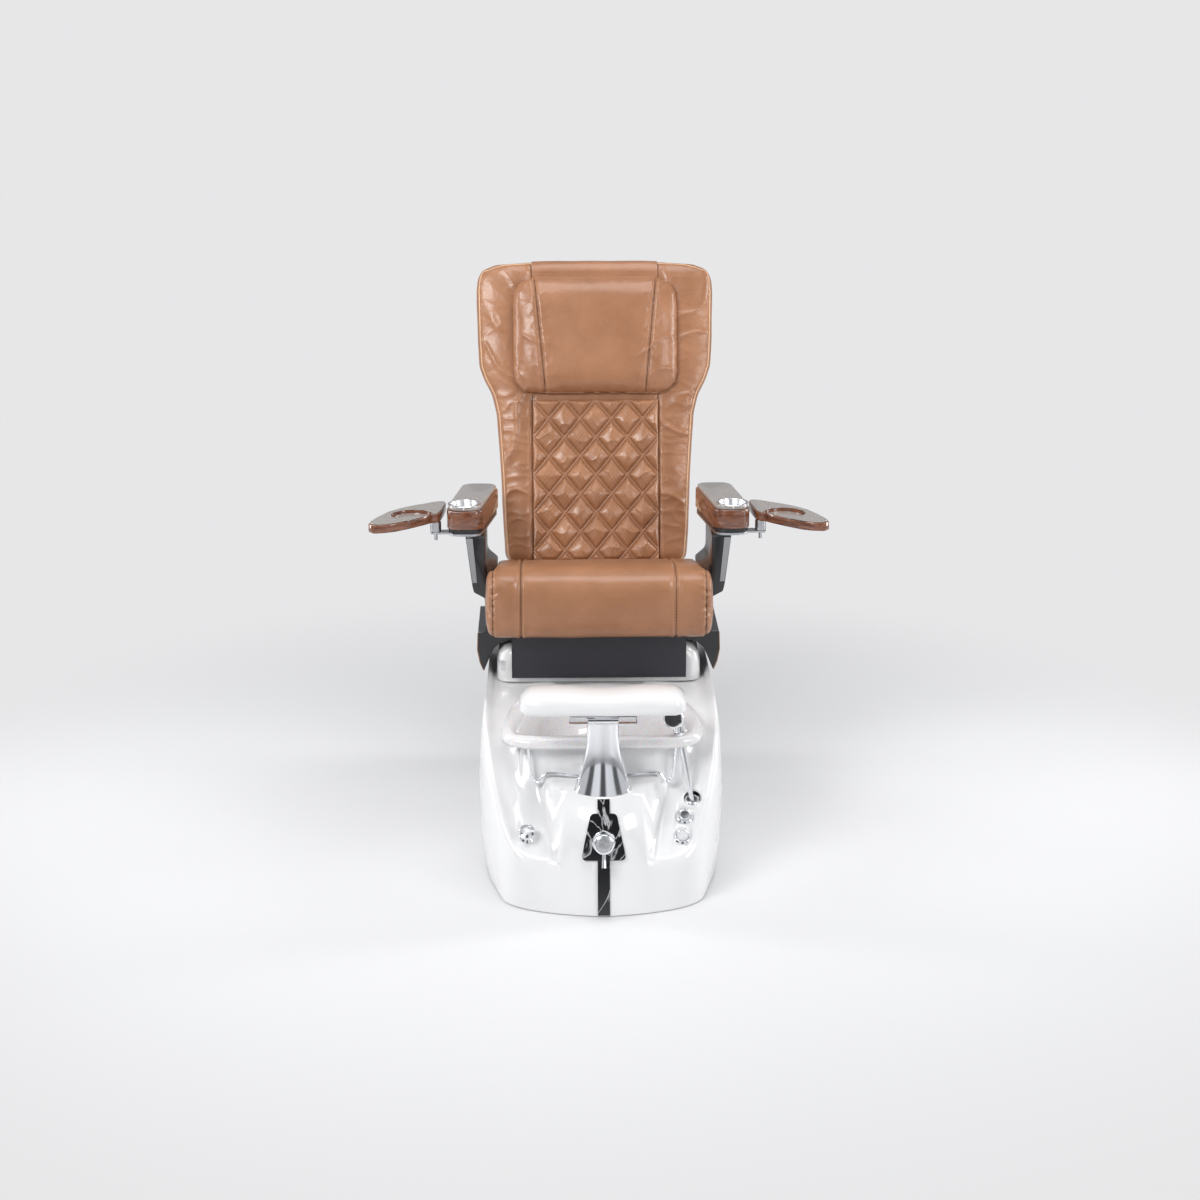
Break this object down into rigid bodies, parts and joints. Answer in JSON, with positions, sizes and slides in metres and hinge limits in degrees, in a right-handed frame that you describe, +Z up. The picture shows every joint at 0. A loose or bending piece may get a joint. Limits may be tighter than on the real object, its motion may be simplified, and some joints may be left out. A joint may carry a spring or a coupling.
{
  "type": "pedicure spa chair",
  "caption": "Salon pedicure chair: upholstered reclining seat with swing-out trays over a moulded foot bath with footrest, mixer tap and hand shower.",
  "frame": {"origin": "on the floor, under the middle of the chair's overall box", "axes": "+Z up, -Y towards the footrest and the toe of the base, +X to the hand shower's side"},
  "size_m": [1.2278, 1.2989, 1.4901],
  "materials": {
    "gelcoat": "polished white gelcoat",
    "bowl_gelcoat": "sparkling pearl white",
    "caramel_leather": "satin upholstery",
    "black_vinyl": "smooth vinyl",
    "black_plastic": "fine satin",
    "skirt_plastic": "black gloss",
    "taupe_plastic": "taupe gloss",
    "burl_wood": "lacquered burl",
    "chrome": "mirror",
    "silver": "bright",
    "steel": "zinc plated",
    "frame_steel": "black powder coat",
    "marble": "polished black with white veins",
    "bronze": "dark bronze",
    "button_plastic": "gloss",
    "motor_plastic": "moulded"
  },
  "bodies": {
    "base": {"base_shell": "gelcoat", "base_frame": "frame_steel", "rear_access_cover": "gelcoat", "marble_inlay": "marble", "bowl": "bowl_gelcoat", "rear_housing": "gelcoat", "slide_rails": "steel", "towel_rail": "chrome", "pedestal": "chrome", "footrest_bracket": "chrome", "mixer_trim": "chrome", "diverter_base": "chrome", "jet_bezel": "chrome", "drain_bezel": "chrome", "sprayer_ring": "chrome", "sprayer_collar": "chrome", "drain_body": "chrome", "drain_pump": "motor_plastic", "control_box": "motor_plastic", "jet_cover": "bronze", "jet_motor": "motor_plastic"},
    "seat": {"seat_carriage": "frame_steel", "seat_board": "black_plastic", "seat_cushion": "caramel_leather", "front_flap": "black_vinyl", "arm_post_left": "black_plastic", "arm_post_right": "black_plastic", "side_skirt_left": "skirt_plastic", "side_skirt_right": "skirt_plastic"},
    "backrest": {"back_cushion": "caramel_leather", "back_shell": "black_plastic", "quilted_panel": "caramel_leather", "pillow": "caramel_leather", "back_frame": "steel"},
    "footrest": {"footrest_leaf": "chrome", "footrest_pad": "gelcoat"},
    "mixer_swivel": {"mixer_collar": "chrome"},
    "mixer_lever": {"mixer_handle": "chrome"},
    "diverter": {"diverter_knob": "chrome"},
    "jet_push": {"jet_button": "button_plastic"},
    "drain_push": {"drain_button": "button_plastic"},
    "hand_shower": {"sprayer": "chrome"},
    "stopper": {"drain_stopper": "chrome"},
    "armrest_left": {"arm_plate_left": "steel", "arm_base_left": "black_plastic", "arm_wood_left": "burl_wood", "arm_top_left": "taupe_plastic", "cup_holder_left": "silver", "tray_boss_left": "steel"},
    "tray_left": {"tray_body_left": "burl_wood", "tray_top_left": "taupe_plastic"},
    "armrest_right": {"arm_plate_right": "steel", "arm_base_right": "black_plastic", "arm_wood_right": "burl_wood", "arm_top_right": "taupe_plastic", "cup_holder_right": "silver", "tray_boss_right": "steel"},
    "tray_right": {"tray_body_right": "burl_wood", "tray_top_right": "taupe_plastic"}
  },
  "joints": [
    {"name": "seat_slide", "type": "slide", "parent": "base", "child": "seat", "axis": [0, -1, 0], "range_m": [0, 0.12]},
    {"name": "recline", "type": "hinge", "parent": "seat", "child": "backrest", "pos_m": [0, 0.34, 0.612], "axis": [-1, 0, 0], "range_deg": [0, 40]},
    {"name": "footrest_flip", "type": "hinge", "parent": "base", "child": "footrest", "pos_m": [0, -0.553, 0.4978], "axis": [1, 0, 0], "range_deg": [0, 85]},
    {"name": "mixer_turn", "type": "hinge", "parent": "base", "child": "mixer_swivel", "pos_m": [0, -0.61335, 0.19221], "axis": [0, -0.9817, 0.1906], "range_deg": [-45, 45]},
    {"name": "mixer_lift", "type": "hinge", "parent": "mixer_swivel", "child": "mixer_lever", "pos_m": [0, -0.62317, 0.19411], "axis": [-1, 0, 0], "range_deg": [0, 11]},
    {"name": "diverter_turn", "type": "hinge", "parent": "base", "child": "diverter", "pos_m": [-0.1945, -0.54125, 0.18214], "axis": [0, -0.5948, 0.8038], "range_deg": [-90, 90]},
    {"name": "jet_button_press", "type": "slide", "parent": "base", "child": "jet_push", "axis": [0, 0.5948, -0.8038], "range_m": [0, 0.003], "stiffness_N_per_m": 800},
    {"name": "drain_button_press", "type": "slide", "parent": "base", "child": "drain_push", "axis": [0, 0.5948, -0.8038], "range_m": [0, 0.003], "stiffness_N_per_m": 800},
    {"name": "sprayer_pull", "type": "slide", "parent": "base", "child": "hand_shower", "axis": [-0.1881, 0.1026, 0.9768], "range_m": [0, 0.18]},
    {"name": "drain_lift", "type": "slide", "parent": "base", "child": "stopper", "axis": [0, 0, 1], "range_m": [0, 0.008]},
    {"name": "armrest_lift_left", "type": "hinge", "parent": "seat", "child": "armrest_left", "pos_m": [-0.33375, 0.262, 0.821], "axis": [-1, 0, 0], "range_deg": [0, 60]},
    {"name": "tray_swing_left", "type": "hinge", "parent": "armrest_left", "child": "tray_left", "pos_m": [-0.441, 0.035, 0.87], "axis": [0, 0, 1], "range_deg": [0, 75]},
    {"name": "armrest_lift_right", "type": "hinge", "parent": "seat", "child": "armrest_right", "pos_m": [0.33375, 0.262, 0.821], "axis": [-1, 0, 0], "range_deg": [0, 60]},
    {"name": "tray_swing_right", "type": "hinge", "parent": "armrest_right", "child": "tray_right", "pos_m": [0.441, 0.035, 0.87], "axis": [0, 0, -1], "range_deg": [0, 75]}
  ]
}
